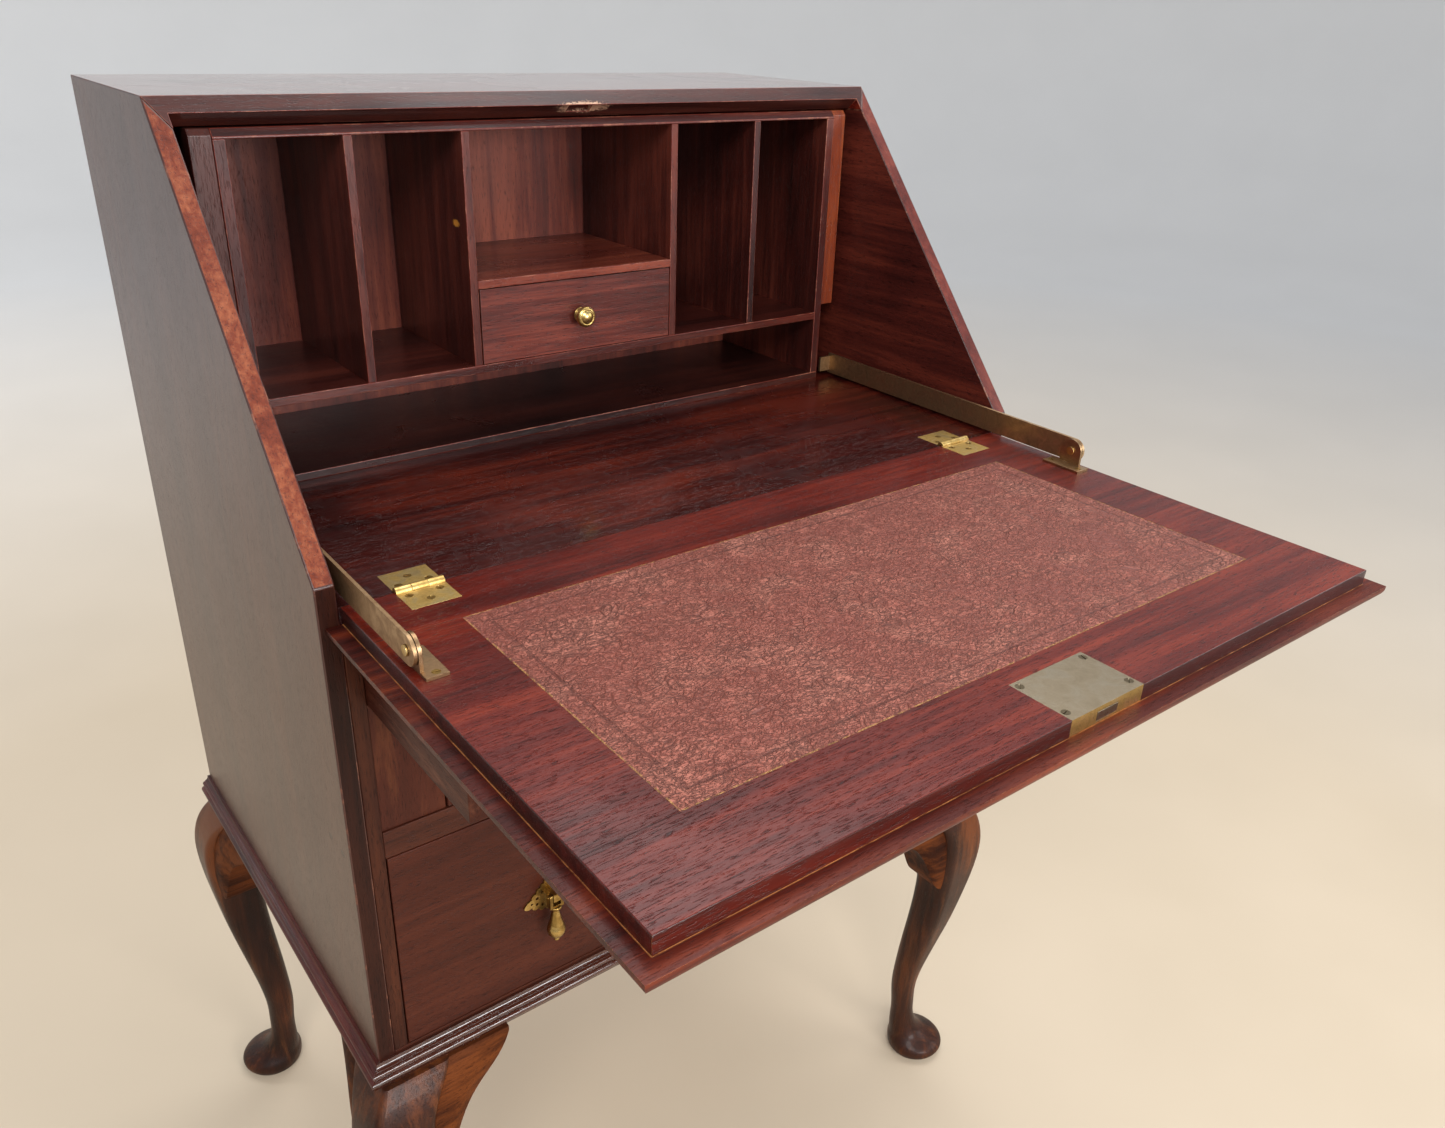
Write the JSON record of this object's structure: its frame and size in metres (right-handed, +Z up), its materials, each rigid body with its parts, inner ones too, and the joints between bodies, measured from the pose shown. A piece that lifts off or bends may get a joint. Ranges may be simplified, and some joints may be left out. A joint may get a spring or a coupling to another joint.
{
  "type": "secretary desk",
  "caption": "Secretary desk with a hinged writing fall on sliding bearers, pigeonholes behind it, drawers with drop pulls below, and cabriole legs.",
  "frame": {"origin": "on the floor under the middle of the desk's bounding box, with the fall open and the lopers out", "axes": "+Z up, the front with the fall faces -Y, +X to the right of someone looking at the back of the desk from the front"},
  "size_m": [0.6604, 0.7699, 1.0099],
  "materials": {
    "mahogany": "french polished, glossy, worn edges",
    "mahogany_inside": "polished, darker",
    "pine_lining": "plain, aged",
    "leather": "dusty rose brown, crinkled, worn",
    "brass_aged": "aged, dull",
    "brass_pulls": "aged, dark in the recesses",
    "lock_metal": "greyish, brushed",
    "screw_metal": "slotted, dull"
  },
  "bodies": {
    "carcass": {"back_panel": "pine_lining", "bottom_board": "pine_lining", "bottom_rail": "mahogany", "drawer_guides": "pine_lining", "dust_panel": "pine_lining", "filler_strips": "mahogany_inside", "front_stiles": "mahogany", "hinge_case_leaves": "brass_aged", "hinge_case_screws": "screw_metal", "hinge_pins": "brass_aged", "knee_brackets": "mahogany", "leg_back_left": "mahogany", "leg_back_right": "mahogany", "leg_dowels": "pine_lining", "leg_front_left": "mahogany", "leg_front_right": "mahogany", "loper_faces": "mahogany", "loper_partitions": "pine_lining", "loper_runners": "pine_lining", "mid_rail": "mahogany", "moulding_front": "mahogany", "moulding_sides": "mahogany", "side_left": "mahogany", "side_right": "mahogany", "top_board": "mahogany", "unit_back": "mahogany_inside", "unit_base": "mahogany_inside", "unit_centre_shelf": "mahogany_inside", "unit_dividers": "mahogany_inside", "unit_shelf": "mahogany_inside", "unit_sides": "mahogany_inside", "unit_top": "mahogany_inside", "writing_board": "mahogany"},
    "fall": {"fall_panel": "mahogany", "leather_inset": "leather", "lock_case": "lock_metal", "lock_screws": "screw_metal", "escutcheon": "brass_aged", "hinge_fall_leaves": "brass_aged", "fall_screws": "screw_metal", "stay_brackets": "brass_aged", "stay_rivets": "brass_aged"},
    "stay_left": {"stay_bar_left": "brass_aged"},
    "stay_right": {"stay_bar_right": "brass_aged"},
    "loper_left": {"loper_left": "mahogany"},
    "loper_right": {"loper_right": "mahogany"},
    "lock_bolt": {"lock_bolt": "lock_metal"},
    "inner_drawer": {"inner_drawer_front": "mahogany_inside", "inner_drawer_box": "pine_lining", "inner_drawer_knob": "brass_aged"},
    "upper_drawer": {"upper_drawer_front": "mahogany", "upper_drawer_box": "pine_lining", "upper_pull_plates": "brass_pulls"},
    "lower_drawer": {"lower_drawer_front": "mahogany", "lower_drawer_box": "pine_lining", "lower_pull_plates": "brass_pulls"},
    "drop_upper_left": {"upper_pull_left_drop": "brass_pulls"},
    "drop_upper_right": {"upper_pull_right_drop": "brass_pulls"},
    "drop_lower_left": {"lower_pull_left_drop": "brass_pulls"},
    "drop_lower_right": {"lower_pull_right_drop": "brass_pulls"}
  },
  "joints": [
    {"name": "fall_hinge", "type": "hinge", "parent": "carcass", "child": "fall", "pos_m": [0, -0.0476, 0.7445], "axis": [-1, 0, 0], "range_deg": [0, 130.38]},
    {"name": "stay_left_pivot", "type": "hinge", "parent": "fall", "child": "stay_left", "pos_m": [-0.2855, -0.1359, 0.7568], "axis": [-1, 0, 0], "range_deg": [-122, 0]},
    {"name": "stay_right_pivot", "type": "hinge", "parent": "fall", "child": "stay_right", "pos_m": [0.2855, -0.1359, 0.7568], "axis": [-1, 0, 0], "range_deg": [-122, 0]},
    {"name": "loper_left_slide", "type": "slide", "parent": "carcass", "child": "loper_left", "axis": [0, 1, 0], "range_m": [0, 0.141]},
    {"name": "loper_right_slide", "type": "slide", "parent": "carcass", "child": "loper_right", "axis": [0, 1, 0], "range_m": [0, 0.141]},
    {"name": "lock_bolt_slide", "type": "slide", "parent": "fall", "child": "lock_bolt", "axis": [0, -1, 0], "range_m": [0, 0.008]},
    {"name": "inner_drawer_slide", "type": "slide", "parent": "carcass", "child": "inner_drawer", "axis": [0, -1, 0], "range_m": [0, 0.092]},
    {"name": "upper_drawer_slide", "type": "slide", "parent": "carcass", "child": "upper_drawer", "axis": [0, -1, 0], "range_m": [0, 0.28]},
    {"name": "lower_drawer_slide", "type": "slide", "parent": "carcass", "child": "lower_drawer", "axis": [0, -1, 0], "range_m": [0, 0.28]},
    {"name": "drop_upper_left_hinge", "type": "hinge", "parent": "upper_drawer", "child": "drop_upper_left", "pos_m": [-0.13, -0.0601, 0.6585], "axis": [-1, 0, 0], "range_deg": [0, 90]},
    {"name": "drop_upper_right_hinge", "type": "hinge", "parent": "upper_drawer", "child": "drop_upper_right", "pos_m": [0.13, -0.0601, 0.6585], "axis": [-1, 0, 0], "range_deg": [0, 90]},
    {"name": "drop_lower_left_hinge", "type": "hinge", "parent": "lower_drawer", "child": "drop_lower_left", "pos_m": [-0.1627, -0.0601, 0.4665], "axis": [-1, 0, 0], "range_deg": [0, 90]},
    {"name": "drop_lower_right_hinge", "type": "hinge", "parent": "lower_drawer", "child": "drop_lower_right", "pos_m": [0.1627, -0.0601, 0.4665], "axis": [-1, 0, 0], "range_deg": [0, 90]}
  ],
  "couplings": [
    {"joint": "stay_left_pivot", "follows": "fall_hinge", "ratio": -0.929},
    {"joint": "stay_right_pivot", "follows": "fall_hinge", "ratio": -0.929}
  ]
}
